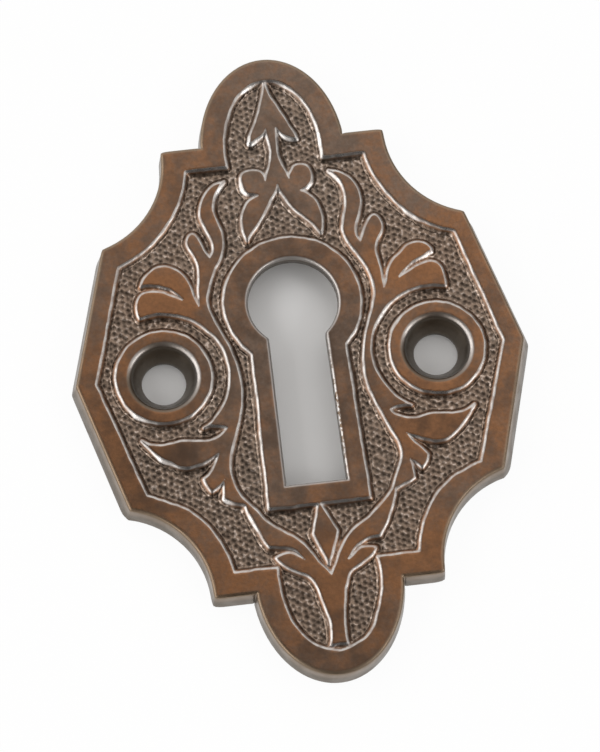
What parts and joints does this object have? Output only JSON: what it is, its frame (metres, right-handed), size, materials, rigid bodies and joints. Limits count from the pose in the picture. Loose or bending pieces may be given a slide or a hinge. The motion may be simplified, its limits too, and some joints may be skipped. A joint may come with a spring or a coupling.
{
  "type": "keyhole escutcheon",
  "caption": "Cast bronze keyhole escutcheon with a raised rim, scrolled leaf relief on a sunk ground, a keyhole in a flat collar and countersunk screw bosses at its sides.",
  "frame": {"origin": "middle of the flat back face", "axes": "+Z out of the front face, +Y along the height towards the lobe with the spear, +X along the line of the screws"},
  "size_m": [0.0366, 0.0513, 0.0023],
  "materials": {
    "aged_bronze": "dark brown aged bronze, lacquered, paler on its edges, with a stippled ground"
  },
  "bodies": {
    "root": {"escutcheon_plate": "aged_bronze"}
  },
  "joints": []
}
